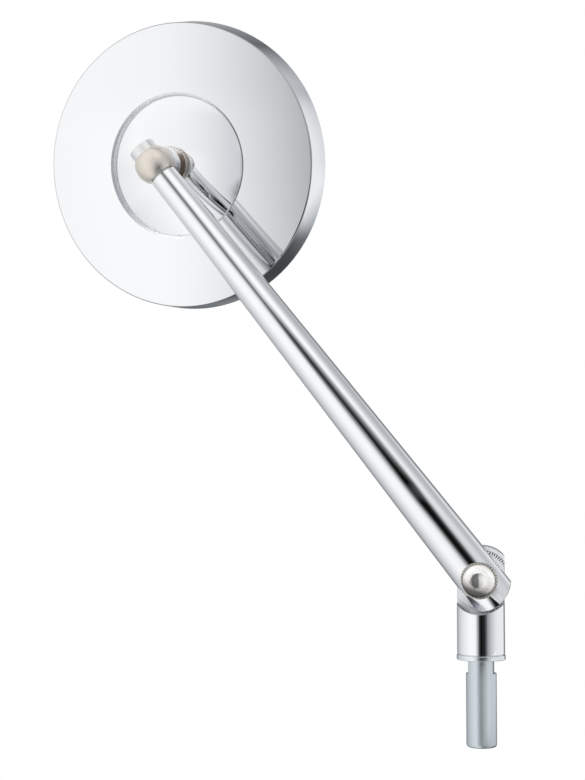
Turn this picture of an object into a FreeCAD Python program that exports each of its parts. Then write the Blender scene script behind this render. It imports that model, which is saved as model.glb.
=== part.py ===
import FreeCAD, Part
import os
import Sketcher

# A round rear-view mirror for a scooter, on a tapered stem that folds on a half-lap hinge.
# Millimetres. +Z runs up the clamp pin, the origin is on the pin's axis at the top of its round
# shank, the hinge screw lies along Y, and the back of the mirror head looks towards -Y.

SIZES = {
    # clamp pin and its washer
    "pin_d": 10.0,
    "pin_length": 24.0,
    "pin_round": 1.0,
    "flats_across": 8.0,
    "flats_length": 4.5,
    "spigot_d": 8.0,
    "spigot_depth": 9.0,
    "spigot_clear": 0.05,
    "pin_washer_d": 16.0,
    "pin_washer_bore": 8.4,
    "pin_washer_thick": 1.6,
    # sleeve and half-lap hinge
    "sleeve_d": 15.6,
    "sleeve_edge": 0.4,
    "hinge_height": 24.4,
    "tongue_r": 10.9,
    "stem_end_r": 10.0,
    "saddle_clear": 1.0,
    "tongue_clear": 0.5,
    "friction_thick": 0.6,
    "friction_d": 19.2,
    "face_clear": 0.02,
    "run_clear": 0.05,
    # hinge screw, its toothed washer and its nut
    "hinge_screw_d": 6.0,
    "hinge_head_d": 10.8,
    "hinge_head_tall": 3.1,
    "hinge_head_round": 2.3,
    "hinge_socket": 5.0,
    "hinge_socket_deep": 2.4,
    "spot_face_d": 12.0,
    "spot_face_y": 4.6,
    "hinge_washer_d": 11.5,
    "hinge_washer_thick": 0.7,
    "hinge_nut_across": 10.0,
    "hinge_nut_thick": 3.0,
    "hinge_collar_d": 8.4,
    "hinge_collar_tall": 1.0,
    "nut_pocket_d": 12.4,
    "nut_seat_y": 3.2,
    # stem
    "lean_deg": 38.2,
    "stem_low_d": 15.15,
    "stem_top_d": 9.36,
    "stem_edge": 0.3,
    "ball_distance": 178.66,
    # swivel ball, its screw and the wave washer under it
    "ball_d": 13.4,
    "ball_flat": 4.5,
    "ball_flat_d": 10.0,
    "neck_d": 12.3,
    "neck_reach": 8.4,
    "neck_edge": 0.3,
    "collar_d": 9.4,
    "collar_reach": 11.6,
    "swivel_screw_d": 5.0,
    "swivel_head_d": 9.4,
    "swivel_head_tall": 3.16,
    "swivel_head_edge": 0.2,
    "swivel_socket": 4.0,
    "swivel_socket_deep": 2.0,
    "swivel_thread": 12.0,
    "wave_washer_d": 8.4,
    "wave_washer_thick": 0.4,
    "head_turn_deg": -12.1,
    # head: toothed washer, domed cap, shell
    "neck_washer_d": 13.4,
    "neck_washer_thick": 0.9,
    "neck_stud_d": 6.0,
    "boss_d": 11.0,
    "boss_tall": 1.55,
    "cap_dome_r": 60.0,
    "cap_thick": 1.2,
    "cap_flange": 3.5,
    "cap_gap": 0.15,
    "recess_d": 49.4,
    "recess_depth": 1.3,
    "recess_chamfer": 0.8,
    "back_d": 99.8,
    "back_dome_r": 400.0,
    "back_round": 0.7,
    "rim_d": 102.3,
    "rim_depth": 10.4,
    "rim_lip": 0.9,
    "shell_wall": 1.4,
    "ledge_width": 4.7,
    # inside and front of the head
    "seat_width": 2.6,
    "dish_d": 46.0,
    "dish_thick": 1.2,
    "dish_rise": 3.4,
    "dish_top_d": 18.0,
    "dish_foot_d": 37.0,
    "neck_nut_across": 10.0,
    "neck_nut_thick": 3.2,
    "stud_stands_out": 0.6,
    "pad_thick": 0.8,
    "pad_gap": 0.3,
    "gasket_thick": 0.8,
    "glass_thick": 2.0,
    "glass_bend_r": 1200.0,
    # teeth of both toothed washers
    "tooth_count": 36,
    "tooth_gap": 0.4,
    "tooth_deep": 0.5,
    # room past the end of a thread, and how far a cutter reaches past the piece it cuts
    "thread_room": 1.0,
    "cut_reach": 40.0,
}

doc = FreeCAD.newDocument("scooter_mirror")
sheet = doc.addObject("Spreadsheet::Sheet", "sizes")
for row, (word, value) in enumerate(SIZES.items(), start=1):
    sheet.set("A%d" % row, word)
    sheet.set("B%d" % row, str(value))
    sheet.setAlias("B%d" % row, word)
doc.recompute()

# Heights and reaches that several pieces share, worked out from the sheet.
HALF_LAP = "sizes.friction_thick / 2"
SLEEVE_FOOT = "(sizes.flats_length + sizes.pin_washer_thick)"
HINGE_Z = "(sizes.flats_length + sizes.pin_washer_thick + sizes.hinge_height)"
STEM_SEAT = "(sizes.ball_flat + sizes.wave_washer_thick)"
WASHER_SEAT = "(sizes.collar_reach + sizes.neck_washer_thick)"
CAP_APEX = "(%s + sizes.boss_tall)" % WASHER_SEAT
CAP_R = "(sizes.recess_d / 2 - sizes.cap_gap)"
CAP_EDGE = "(%s + sizes.cap_dome_r - sqrt(sizes.cap_dome_r ^ 2 - %s ^ 2))" % (CAP_APEX, CAP_R)
LEDGE = "(%s + sizes.cap_thick)" % CAP_EDGE
BACK_TOP = "(%s - sizes.recess_depth)" % CAP_EDGE
BACK_CENTRE = "(sqrt(sizes.back_dome_r ^ 2 - sizes.recess_d ^ 2 / 4) + %s)" % BACK_TOP
BACK_EDGE = "(%s - sqrt(sizes.back_dome_r ^ 2 - sizes.back_d ^ 2 / 4))" % BACK_CENTRE
FRONT = "(%s + sizes.rim_depth)" % BACK_EDGE
INSIDE_R = "(sizes.back_d / 2 - sizes.rim_lip - sizes.seat_width)"
GLASS_EDGE_R = "(sizes.back_d / 2 - sizes.rim_lip - sizes.gasket_thick)"
GLASS_CROWN = "(sizes.glass_bend_r - sqrt(sizes.glass_bend_r ^ 2 - %s ^ 2))" % GLASS_EDGE_R
GLASS_SEAT = "(%s - %s - sizes.glass_thick)" % (FRONT, GLASS_CROWN)
PAD_SEAT = "(%s - sizes.pad_thick)" % GLASS_SEAT
DISH_SEAT = "(%s + sizes.shell_wall)" % LEDGE
NECK_NUT_SEAT = "(%s - sizes.dish_rise + sizes.dish_thick)" % DISH_SEAT

# The frames that pieces are drawn in, each given by its place in the whole object.
ALONG_Z = "placement(vector(0; 0; 0); rotation(vector(0; 0; 1); 0))"
HINGE_FRAME = "placement(vector(0; 0; %s); rotation(vector(0; 1; 0); -sizes.lean_deg))" % HINGE_Z
SCREW_FRAME = HINGE_FRAME + " * placement(vector(0; 0; 0); rotation(vector(1; 0; 0); -90))"
BALL_FRAME = HINGE_FRAME + " * placement(vector(0; 0; sizes.ball_distance); rotation(vector(0; 0; 1); 0))"
HEAD_FRAME = (
    HINGE_FRAME
    + " * placement(vector(0; 0; sizes.ball_distance); rotation(vector(0; 0; 1); sizes.head_turn_deg))"
    + " * placement(vector(0; 0; 0); rotation(vector(1; 0; 0); 90))"
)

TURN_TO_Y = FreeCAD.Rotation(FreeCAD.Vector(1, 0, 0), -90)
TURN_DOWN_Y = FreeCAD.Rotation(FreeCAD.Vector(1, 0, 0), 90)
UPRIGHT = FreeCAD.Rotation()
FAR = "sizes.cut_reach"


def new_body(label, frame=ALONG_Z):
    """A body with its label, placed by one of the frames."""
    body = doc.addObject("PartDesign::Body", label)
    body.Label = label
    body.setExpression("Placement", frame)
    return body


def shape_in(body, kind, values, at=("0", "0", "0"), turn=UPRIGHT):
    """Adds a primitive feature to a body, its sizes and place bound to the sheet."""
    item = body.newObject("PartDesign::" + kind, body.Label + "_" + kind)
    item.Placement = FreeCAD.Placement(FreeCAD.Vector(), turn)
    for name, rule in values.items():
        item.setExpression(name, rule)
    for axis, rule in zip("xyz", at):
        item.setExpression("Placement.Base." + axis, rule)
    return item


def disc(body, radius, low, high, kind="AdditiveCylinder"):
    """A round disc on the body's Z axis between two heights."""
    values = {"Radius": radius, "Height": "(%s) - (%s)" % (high, low)}
    return shape_in(body, kind, values, ("0", "0", low))


def bar_along_y(body, radius, low, high, height="0", kind="AdditiveCylinder"):
    """A round bar along Y between two values of y, at a height on the Z axis."""
    values = {"Radius": radius, "Height": "(%s) - (%s)" % (high, low)}
    return shape_in(body, kind, values, ("0", low, height), TURN_TO_Y)


def block(body, low, high, kind="SubtractiveBox"):
    """A box between two corners."""
    names = ("Length", "Width", "Height")
    values = {n: "(%s) - (%s)" % (b, a) for n, a, b in zip(names, low, high)}
    return shape_in(body, kind, values, low)


def dome(body, radius, edge, centre, kind="AdditiveSphere"):
    """A spherical cap that opens towards -Z, out to a given edge radius."""
    values = {"Radius": radius, "Angle1": "acos((%s) / (%s))" % (edge, radius), "Angle2": "90"}
    return shape_in(body, kind, values, ("0", "0", centre))


def hexagon(body, across, low, high, kind):
    """A hexagonal prism on the body's Z axis, given across its flats."""
    values = {"Circumradius": "(%s) / sqrt(3)" % across, "Height": "(%s) - (%s)" % (high, low)}
    prism = shape_in(body, kind, values, ("0", "0", low))
    prism.Polygon = 6
    return prism


def circles_near(feature, radius, height):
    """Names of a feature's round edges about Z with this radius, at this height."""
    names = []
    for number, edge in enumerate(feature.Shape.Edges, start=1):
        if edge.Degenerated or edge.Curve.TypeId != "Part::GeomCircle":
            continue
        centre = edge.Curve.Center
        if abs(edge.Curve.Radius - radius) < 0.01 and abs(centre.z - height) < 0.01:
            names.append("Edge%d" % number)
    return names


def soften(body, kind, feature, radius_name, at_top, size_name, rule):
    """A fillet or chamfer on the round edge at the top or the foot of a primitive."""
    doc.recompute()
    radius = float(getattr(feature, radius_name))
    height = feature.Placement.Base.z + (float(feature.Height) if at_top else 0.0)
    item = body.newObject("PartDesign::" + kind, body.Label + "_" + kind)
    item.Base = (feature, circles_near(feature, radius, height))
    item.setExpression(size_name, rule)
    return item


def toothed_ring(label, frame, outer, bore, low, high):
    """A flat lock washer with teeth cut round its outer edge."""
    body = new_body(label, frame)
    disc(body, outer, low, high)
    disc(body, bore, low, high, "SubtractiveCylinder")
    gap = block(
        body,
        ("%s - sizes.tooth_deep" % outer, "-sizes.tooth_gap / 2", low),
        ("%s + sizes.tooth_deep" % outer, "sizes.tooth_gap / 2", high),
    )
    pattern = body.newObject("PartDesign::PolarPattern", label + "_teeth")
    pattern.Originals = [gap]
    spindle = [item for item in body.Origin.OriginFeatures if item.Role == "Z_Axis"][0]
    pattern.Axis = (spindle, [""])
    pattern.Angle = 360
    pattern.setExpression("Occurrences", "sizes.tooth_count")
    body.Tip = pattern
    return body


def plain_ring(label, frame, outer, bore, low, high):
    """A flat ring on the frame's Z axis."""
    body = new_body(label, frame)
    disc(body, outer, low, high)
    disc(body, bore, low, high, "SubtractiveCylinder")
    return body


def clamp_pin():
    """Round pin that the handlebar clamp holds, with wrench flats and a spigot for the sleeve."""
    body = new_body("clamp_pin")
    shank = disc(body, "sizes.pin_d / 2", "-sizes.pin_length", "sizes.flats_length")
    soften(body, "Fillet", shank, "Radius", False, "Radius", "sizes.pin_round")
    for side in ("1", "-1"):
        reach = "sizes.pin_d"
        inner = "sizes.flats_across / 2"
        low_x = inner if side == "1" else "-" + reach
        high_x = reach if side == "1" else "-" + inner
        block(body, (low_x, "-sizes.pin_d", "0"), (high_x, "sizes.pin_d", "sizes.flats_length"))
    disc(body, "sizes.spigot_d / 2", "sizes.flats_length", "%s + sizes.spigot_depth" % SLEEVE_FOOT)
    return body


def hinge_sleeve():
    """Chrome barrel: a saddle in front for the stem's round end, a round-topped tongue behind."""
    body = new_body("hinge_sleeve")
    barrel = disc(body, "sizes.sleeve_d / 2", SLEEVE_FOOT, HINGE_Z)
    soften(body, "Chamfer", barrel, "Radius", False, "Size", "sizes.sleeve_edge")
    bar_along_y(body, "sizes.tongue_r", HALF_LAP, "sizes.sleeve_d / 2", HINGE_Z)
    trim = body.newObject("Sketcher::SketchObject", "tongue_trim")
    plane = [item for item in body.Origin.OriginFeatures if item.Role == "XY_Plane"][0]
    trim.AttachmentSupport = [(plane, "")]
    trim.MapMode = "FlatFace"
    for rule in ("sizes.sleeve_d / 2", "2 * sizes.sleeve_d"):
        first = Part.Circle(FreeCAD.Vector(), FreeCAD.Vector(0, 0, 1), 10 + trim.GeometryCount)
        ring = trim.addGeometry(first)
        trim.addConstraint(Sketcher.Constraint("Coincident", ring, 3, -1, 1))
        fixed = trim.addConstraint(Sketcher.Constraint("Radius", ring, 10 + ring))
        trim.setExpression("Constraints[%d]" % fixed, rule)
    cut = body.newObject("PartDesign::Pocket", "tongue_sides")
    cut.Profile = trim
    cut.Type = "ThroughAll"
    cut.Midplane = True
    saddle = "sizes.stem_end_r + sizes.saddle_clear"
    bar_along_y(body, saddle, "-" + FAR, HALF_LAP, HINGE_Z, "SubtractiveCylinder")
    block(body, ("-" + FAR, "-" + FAR, HINGE_Z), (FAR, HALF_LAP, "%s + %s" % (HINGE_Z, FAR)))
    bore = "sizes.hinge_screw_d / 2 + sizes.run_clear"
    bar_along_y(body, bore, "-" + FAR, FAR, HINGE_Z, "SubtractiveCylinder")
    bar_along_y(body, "sizes.nut_pocket_d / 2", "sizes.nut_seat_y", FAR, HINGE_Z, "SubtractiveCylinder")
    thread = "sizes.spigot_d / 2 + sizes.spigot_clear"
    end = "%s + sizes.spigot_depth + sizes.thread_room" % SLEEVE_FOOT
    disc(body, thread, SLEEVE_FOOT, end, "SubtractiveCylinder")
    return body


def hinge_screw():
    """Button-head screw that the stem folds on, with a hexagon socket."""
    body = new_body("hinge_screw", SCREW_FRAME)
    seat = "-(sizes.spot_face_y + sizes.hinge_washer_thick)"
    top = "-(sizes.spot_face_y + sizes.hinge_washer_thick + sizes.hinge_head_tall)"
    head = disc(body, "sizes.hinge_head_d / 2", top, seat)
    soften(body, "Fillet", head, "Radius", False, "Radius", "sizes.hinge_head_round")
    end = "sizes.nut_seat_y + sizes.face_clear + sizes.hinge_nut_thick + sizes.hinge_collar_tall"
    disc(body, "sizes.hinge_screw_d / 2", seat, end)
    hexagon(body, "sizes.hinge_socket", top, "%s + sizes.hinge_socket_deep" % top, "SubtractivePrism")
    return body


def hinge_nut():
    """Lock nut in the round pocket behind the tongue; it turns with the screw."""
    body = new_body("hinge_nut", SCREW_FRAME)
    low = "sizes.nut_seat_y + sizes.face_clear"
    high = low + " + sizes.hinge_nut_thick"
    hexagon(body, "sizes.hinge_nut_across", low, high, "AdditivePrism")
    disc(body, "sizes.hinge_collar_d / 2", high, high + " + sizes.hinge_collar_tall")
    thread = "sizes.hinge_screw_d / 2 + sizes.spigot_clear"
    disc(body, thread, low, high + " + sizes.hinge_collar_tall", "SubtractiveCylinder")
    return body


def stem():
    """Tapered round bar, half of its lower end cut away for the lap, its top seated on the ball."""
    body = new_body("stem", HINGE_FRAME)
    low_r = "sizes.stem_low_d / 2"
    length = "sizes.ball_distance - %s" % STEM_SEAT
    taper = {"Radius1": low_r, "Radius2": "sizes.stem_top_d / 2", "Height": length}
    bar = shape_in(body, "AdditiveCone", taper)
    soften(body, "Chamfer", bar, "Radius2", True, "Size", "sizes.stem_edge")
    lap_face = "-(%s + sizes.face_clear)" % HALF_LAP
    shape_in(
        body,
        "AdditiveCylinder",
        {"Radius": "sizes.stem_end_r", "Height": "%s - (%s)" % (low_r, HALF_LAP), "Angle": "180"},
        ("0", lap_face, "0"),
        TURN_DOWN_Y * FreeCAD.Rotation(FreeCAD.Vector(0, 0, 1), 180),
    )
    trim = body.newObject("Sketcher::SketchObject", "end_trim")
    plane = [item for item in body.Origin.OriginFeatures if item.Role == "XY_Plane"][0]
    trim.AttachmentSupport = [(plane, "")]
    trim.MapMode = "FlatFace"
    for rule in (low_r, "2 * sizes.stem_low_d"):
        first = Part.Circle(FreeCAD.Vector(), FreeCAD.Vector(0, 0, 1), 10 + trim.GeometryCount)
        ring = trim.addGeometry(first)
        trim.addConstraint(Sketcher.Constraint("Coincident", ring, 3, -1, 1))
        fixed = trim.addConstraint(Sketcher.Constraint("Radius", ring, 10 + ring))
        trim.setExpression("Constraints[%d]" % fixed, rule)
    cut = body.newObject("PartDesign::Pocket", "end_sides")
    cut.Profile = trim
    cut.Type = "ThroughAll"
    cut.Midplane = True
    room = "sizes.tongue_r + sizes.tongue_clear"
    bar_along_y(body, room, lap_face, FAR, "0", "SubtractiveCylinder")
    block(body, ("-" + FAR, lap_face, "-" + FAR), (FAR, FAR, "0"))
    bar_along_y(body, "sizes.hinge_screw_d / 2 + sizes.run_clear", "-" + FAR, FAR, "0", "SubtractiveCylinder")
    bar_along_y(body, "sizes.spot_face_d / 2", "-" + FAR, "-sizes.spot_face_y", "0", "SubtractiveCylinder")
    thread = "sizes.swivel_screw_d / 2 + sizes.spigot_clear"
    end = "%s - sizes.swivel_thread - sizes.thread_room" % length
    disc(body, thread, end, length, "SubtractiveCylinder")
    return body


def swivel_screw():
    """Low round-headed screw through the ball into the stem: the head swivels on it."""
    body = new_body("swivel_screw", BALL_FRAME)
    seat = "sizes.ball_flat + sizes.face_clear"
    top = "sizes.ball_flat + sizes.swivel_head_tall"
    head = disc(body, "sizes.swivel_head_d / 2", seat, top)
    soften(body, "Fillet", head, "Radius", True, "Radius", "sizes.swivel_head_edge")
    disc(body, "sizes.swivel_screw_d / 2", "-(%s + sizes.swivel_thread)" % STEM_SEAT, seat)
    hexagon(body, "sizes.swivel_socket", "%s - sizes.swivel_socket_deep" % top, top, "SubtractivePrism")
    return body


def swivel_ball():
    """Turned ball with two flats, a neck towards the head, a thinner collar and a threaded stud."""
    body = new_body("swivel_ball", HEAD_FRAME)
    shape_in(body, "AdditiveSphere", {"Radius": "sizes.ball_d / 2"})
    neck = disc(body, "sizes.neck_d / 2", "-sizes.neck_reach", "0")
    soften(body, "Chamfer", neck, "Radius", False, "Size", "sizes.neck_edge")
    disc(body, "sizes.collar_d / 2", "-sizes.collar_reach", "0")
    end = "%s + sizes.neck_nut_thick + sizes.stud_stands_out" % NECK_NUT_SEAT
    disc(body, "sizes.neck_stud_d / 2", "-(%s)" % end, "0")
    for low, high in (("sizes.ball_flat", FAR), ("-" + FAR, "-sizes.ball_flat")):
        bar_along_y(body, "sizes.ball_flat_d / 2", low, high, "0", "SubtractiveCylinder")
    bore = "sizes.swivel_screw_d / 2 + sizes.run_clear"
    bar_along_y(body, bore, "-" + FAR, FAR, "0", "SubtractiveCylinder")
    return body


def centre_cap():
    """Domed polished cap in the recess of the head's back, hollow behind, with a low boss."""
    body = new_body("centre_cap", HEAD_FRAME)
    centre = "-(%s + sizes.cap_dome_r)" % CAP_APEX
    dome(body, "sizes.cap_dome_r", CAP_R, centre)
    disc(body, CAP_R, "-%s" % LEDGE, "-%s" % CAP_EDGE)
    disc(body, "sizes.boss_d / 2", "-%s - sizes.cap_thick / 2" % CAP_APEX, "-%s" % WASHER_SEAT)
    hollow = "(%s - sizes.cap_flange)" % CAP_R
    inner = "(sizes.cap_dome_r - sizes.cap_thick)"
    dome(body, inner, hollow, centre, "SubtractiveSphere")
    ceiling = "%s + sqrt(%s ^ 2 - %s ^ 2)" % (centre, inner, hollow)
    disc(body, hollow, "-%s" % LEDGE, ceiling, "SubtractiveCylinder")
    stud = "sizes.neck_stud_d / 2 + sizes.spigot_clear"
    disc(body, stud, "-" + FAR, "0", "SubtractiveCylinder")
    return body


def head_shell():
    """Round shell: a gently domed back with a recess for the cap, a flared rim, a seat for the glass."""
    body = new_body("head_shell", HEAD_FRAME)
    dome(body, "sizes.back_dome_r", "sizes.back_d / 2", "-%s" % BACK_CENTRE)
    rim = shape_in(
        body,
        "AdditiveCone",
        {"Radius1": "sizes.rim_d / 2", "Radius2": "sizes.back_d / 2", "Height": "sizes.rim_depth"},
        ("0", "0", "-%s" % FRONT),
    )
    soften(body, "Fillet", rim, "Radius2", True, "Radius", "sizes.back_round")
    inner = "(sizes.back_dome_r - sizes.shell_wall)"
    dome(body, inner, INSIDE_R, "-%s" % BACK_CENTRE, "SubtractiveSphere")
    ceiling = "sqrt(%s ^ 2 - %s ^ 2) - %s" % (inner, INSIDE_R, BACK_CENTRE)
    disc(body, INSIDE_R, "-%s" % PAD_SEAT, ceiling, "SubtractiveCylinder")
    disc(body, "sizes.back_d / 2 - sizes.rim_lip", "-%s" % FRONT, "-%s" % PAD_SEAT, "SubtractiveCylinder")
    cup = "sizes.recess_d / 2 + sizes.shell_wall"
    disc(body, cup, "-%s" % DISH_SEAT, "-%s - sizes.shell_wall / 2" % BACK_TOP)
    recess = "sizes.recess_d / 2"
    disc(body, recess, "-%s" % LEDGE, "0", "SubtractiveCylinder")
    chamfer = {
        "Radius1": recess,
        "Radius2": recess + " + sizes.recess_chamfer",
        "Height": "sizes.recess_chamfer",
    }
    shape_in(body, "SubtractiveCone", chamfer, ("0", "0", "-%s - sizes.recess_chamfer" % BACK_TOP))
    disc(body, "sizes.recess_d / 2 - sizes.ledge_width", "-%s" % DISH_SEAT, "0", "SubtractiveCylinder")
    return body


def clamp_dish():
    """Dished plate inside the head; the nut pulls it and the cap together on the shell's ledge."""
    body = new_body("clamp_dish", HEAD_FRAME)
    top = "-%s" % DISH_SEAT
    disc(body, "sizes.dish_d / 2", "%s - sizes.dish_thick" % top, top)
    foot = "sizes.dish_foot_d / 2"
    crown = "sizes.dish_top_d / 2"
    bowl = {"Radius1": foot, "Radius2": crown, "Height": "sizes.dish_rise"}
    shape_in(body, "AdditiveCone", bowl, ("0", "0", top))
    hollow = {"Radius1": foot, "Radius2": crown, "Height": "sizes.dish_rise"}
    shape_in(body, "SubtractiveCone", hollow, ("0", "0", "%s - sizes.dish_thick" % top))
    stud = "sizes.neck_stud_d / 2 + sizes.spigot_clear"
    disc(body, stud, "-" + FAR, "0", "SubtractiveCylinder")
    return body


def neck_nut():
    """Thin nut on the ball's stud, inside the head."""
    body = new_body("neck_nut", HEAD_FRAME)
    low = "-(%s + sizes.neck_nut_thick)" % NECK_NUT_SEAT
    high = "-(%s)" % NECK_NUT_SEAT
    hexagon(body, "sizes.neck_nut_across", low, high, "AdditivePrism")
    disc(body, "sizes.neck_stud_d / 2 + sizes.spigot_clear", low, high, "SubtractiveCylinder")
    return body


def mirror_glass():
    """Round mirror glass, bent a little so that it is convex towards the rider."""
    body = new_body("mirror_glass", HEAD_FRAME)
    turned_over = " * placement(vector(0; 0; 0); rotation(vector(1; 0; 0); 180))"
    body.setExpression("Placement", HEAD_FRAME + turned_over)
    crown = "(%s - sizes.glass_bend_r)" % FRONT
    disc(body, GLASS_EDGE_R, GLASS_SEAT, "%s + sizes.glass_thick" % GLASS_SEAT)
    dome(body, "sizes.glass_bend_r", GLASS_EDGE_R, crown)
    inner = "(sizes.glass_bend_r - sizes.glass_thick)"
    dome(body, inner, "(%s - sizes.pad_gap)" % INSIDE_R, crown, "SubtractiveSphere")
    return body


PIECES = [
    clamp_pin(),
    plain_ring(
        "pin_washer",
        ALONG_Z,
        "sizes.pin_washer_d / 2",
        "sizes.pin_washer_bore / 2",
        "sizes.flats_length",
        SLEEVE_FOOT,
    ),
    hinge_sleeve(),
    plain_ring(
        "hinge_friction_washer",
        SCREW_FRAME,
        "sizes.friction_d / 2",
        "sizes.hinge_screw_d / 2 + sizes.run_clear",
        "-" + HALF_LAP,
        HALF_LAP,
    ),
    hinge_screw(),
    toothed_ring(
        "hinge_lock_washer",
        SCREW_FRAME,
        "sizes.hinge_washer_d / 2",
        "sizes.hinge_screw_d / 2 + sizes.spigot_clear",
        "-(sizes.spot_face_y + sizes.hinge_washer_thick)",
        "-sizes.spot_face_y",
    ),
    hinge_nut(),
    stem(),
    plain_ring(
        "swivel_wave_washer",
        BALL_FRAME,
        "sizes.wave_washer_d / 2",
        "sizes.swivel_screw_d / 2 + sizes.spigot_clear",
        "-%s" % STEM_SEAT,
        "-(sizes.ball_flat + sizes.face_clear)",
    ),
    swivel_screw(),
    swivel_ball(),
    toothed_ring(
        "neck_lock_washer",
        HEAD_FRAME,
        "sizes.neck_washer_d / 2",
        "sizes.neck_stud_d / 2 + sizes.spigot_clear",
        "-%s" % WASHER_SEAT,
        "-sizes.collar_reach",
    ),
    centre_cap(),
    head_shell(),
    clamp_dish(),
    neck_nut(),
    plain_ring(
        "glass_pad",
        HEAD_FRAME,
        GLASS_EDGE_R,
        "(%s + sizes.pad_gap)" % INSIDE_R,
        "-%s" % GLASS_SEAT,
        "-%s" % PAD_SEAT,
    ),
    mirror_glass(),
    plain_ring(
        "glass_gasket",
        HEAD_FRAME,
        "sizes.back_d / 2 - sizes.rim_lip",
        GLASS_EDGE_R,
        "-(%s + sizes.glass_thick)" % GLASS_SEAT,
        "-%s" % PAD_SEAT,
    ),
]
doc.recompute()

for item in doc.Objects:
    if "Invalid" in item.State or "Error" in item.State:
        raise RuntimeError("%s did not build: %s" % (item.Label, item.State))
for piece in PIECES:
    if piece.Shape.isNull() or not piece.Shape.isValid() or len(piece.Shape.Solids) != 1:
        raise RuntimeError("%s is not one sound solid" % piece.Label)

os.makedirs("parts", exist_ok=True)
for piece in PIECES:
    piece.Shape.exportStep("parts/%s.step" % piece.Label)
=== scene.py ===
import math

import bmesh
import bpy
from mathutils import Matrix, Vector


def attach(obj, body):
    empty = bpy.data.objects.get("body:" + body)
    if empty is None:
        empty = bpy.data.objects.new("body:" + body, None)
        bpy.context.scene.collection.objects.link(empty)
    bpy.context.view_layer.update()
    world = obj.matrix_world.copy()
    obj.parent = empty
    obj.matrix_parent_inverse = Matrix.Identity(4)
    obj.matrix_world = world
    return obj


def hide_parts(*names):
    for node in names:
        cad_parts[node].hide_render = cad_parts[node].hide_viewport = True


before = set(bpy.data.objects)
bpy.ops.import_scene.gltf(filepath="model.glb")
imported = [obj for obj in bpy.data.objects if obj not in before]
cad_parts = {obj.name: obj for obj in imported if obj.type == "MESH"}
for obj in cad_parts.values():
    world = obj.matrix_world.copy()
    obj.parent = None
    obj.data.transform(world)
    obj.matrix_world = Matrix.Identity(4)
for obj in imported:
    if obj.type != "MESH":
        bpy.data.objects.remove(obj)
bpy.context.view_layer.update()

# Clamp pin: a turned steel pin with clear zinc plate, satin and a little blue. Two wrench flats
# are milled under its shoulder, and its hidden spigot screws up into the sleeve.
MM = 0.001
HAIR = 0.02 * MM
PIN_R = 5.0 * MM
PIN_FOOT = -24.0 * MM
PIN_ROUND = 1.0 * MM
FLAT_HALF = 4.0 * MM
FLAT_TOP = 4.5 * MM


def turned(name, outline, steps=128):
    """A turned piece: an outline of (radius, height) points spun once about Z."""
    bm = bmesh.new()
    points = [bm.verts.new((r, 0.0, z)) for r, z in outline]
    edges = [bm.edges.new(pair) for pair in zip(points, points[1:])]
    bmesh.ops.spin(
        bm, geom=points + edges, cent=(0, 0, 0), axis=(0, 0, 1), angle=math.tau, steps=steps, use_merge=True
    )
    bmesh.ops.remove_doubles(bm, verts=bm.verts, dist=1e-7)
    bmesh.ops.recalc_face_normals(bm, faces=bm.faces)
    mesh = bpy.data.meshes.new(name)
    bm.to_mesh(mesh)
    bm.free()
    piece = bpy.data.objects.new(name, mesh)
    bpy.context.scene.collection.objects.link(piece)
    return piece


def arc(centre, radius, start, end, count):
    """Points of an arc in an outline, from one angle to another in degrees."""
    turns = [math.radians(start + (end - start) * k / count) for k in range(count + 1)]
    return [(centre[0] + radius * math.cos(a), centre[1] + radius * math.sin(a)) for a in turns]


def polish_edges(piece, width, segments=3, angle=32):
    """Smooth faces with small rounded edges where two faces meet sharply."""
    for face in piece.data.polygons:
        face.use_smooth = True
    piece.data.set_sharp_from_angle(angle=math.radians(angle))
    rounding = piece.modifiers.new("edge_round", "BEVEL")
    rounding.width = width
    rounding.segments = segments
    rounding.limit_method = "ANGLE"
    rounding.angle_limit = math.radians(angle)
    rounding.harden_normals = True
    rounding.profile = 0.5


def metal(name, colour, rough, rough_spread, grain, stretch, dent, axis=None):
    """A metal: a grain, or tool rings about an axis, breaks up its gloss, colour and surface."""
    finish = bpy.data.materials.new(name)
    finish.use_nodes = True
    nodes = finish.node_tree.nodes
    links = finish.node_tree.links
    shader = nodes["Principled BSDF"]
    shader.inputs["Metallic"].default_value = 1.0
    place = nodes.new("ShaderNodeTexCoord")
    mapping = nodes.new("ShaderNodeMapping")
    mapping.inputs["Scale"].default_value = stretch
    links.new(place.outputs["Object"], mapping.inputs["Vector"])
    if axis:
        mapping.vector_type = "TEXTURE"
        mapping.inputs["Location"].default_value = axis.to_translation()
        mapping.inputs["Rotation"].default_value = axis.to_euler()
        noise = nodes.new("ShaderNodeTexWave")
        noise.wave_type = "RINGS"
        noise.rings_direction = "Z"
        noise.inputs["Distortion"].default_value = 1.5
    else:
        noise = nodes.new("ShaderNodeTexNoise")
    noise.inputs["Scale"].default_value = grain
    noise.inputs["Detail"].default_value = 6.0
    links.new(mapping.outputs["Vector"], noise.inputs["Vector"])
    gloss = nodes.new("ShaderNodeMapRange")
    gloss.inputs["To Min"].default_value = max(rough - rough_spread, 0.01)
    gloss.inputs["To Max"].default_value = rough + rough_spread
    links.new(noise.outputs["Fac"], gloss.inputs["Value"])
    links.new(gloss.outputs["Result"], shader.inputs["Roughness"])
    tint = nodes.new("ShaderNodeMix")
    tint.data_type = "RGBA"
    tint.inputs["A"].default_value = (*[c * 0.965 for c in colour], 1.0)
    tint.inputs["B"].default_value = (*[min(c * 1.035, 1.0) for c in colour], 1.0)
    links.new(noise.outputs["Fac"], tint.inputs["Factor"])
    links.new(tint.outputs["Result"], shader.inputs["Base Color"])
    bump = nodes.new("ShaderNodeBump")
    bump.inputs["Strength"].default_value = dent
    bump.inputs["Distance"].default_value = 0.0002
    links.new(noise.outputs["Fac"], bump.inputs["Height"])
    links.new(bump.outputs["Normal"], shader.inputs["Normal"])
    return finish


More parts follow.
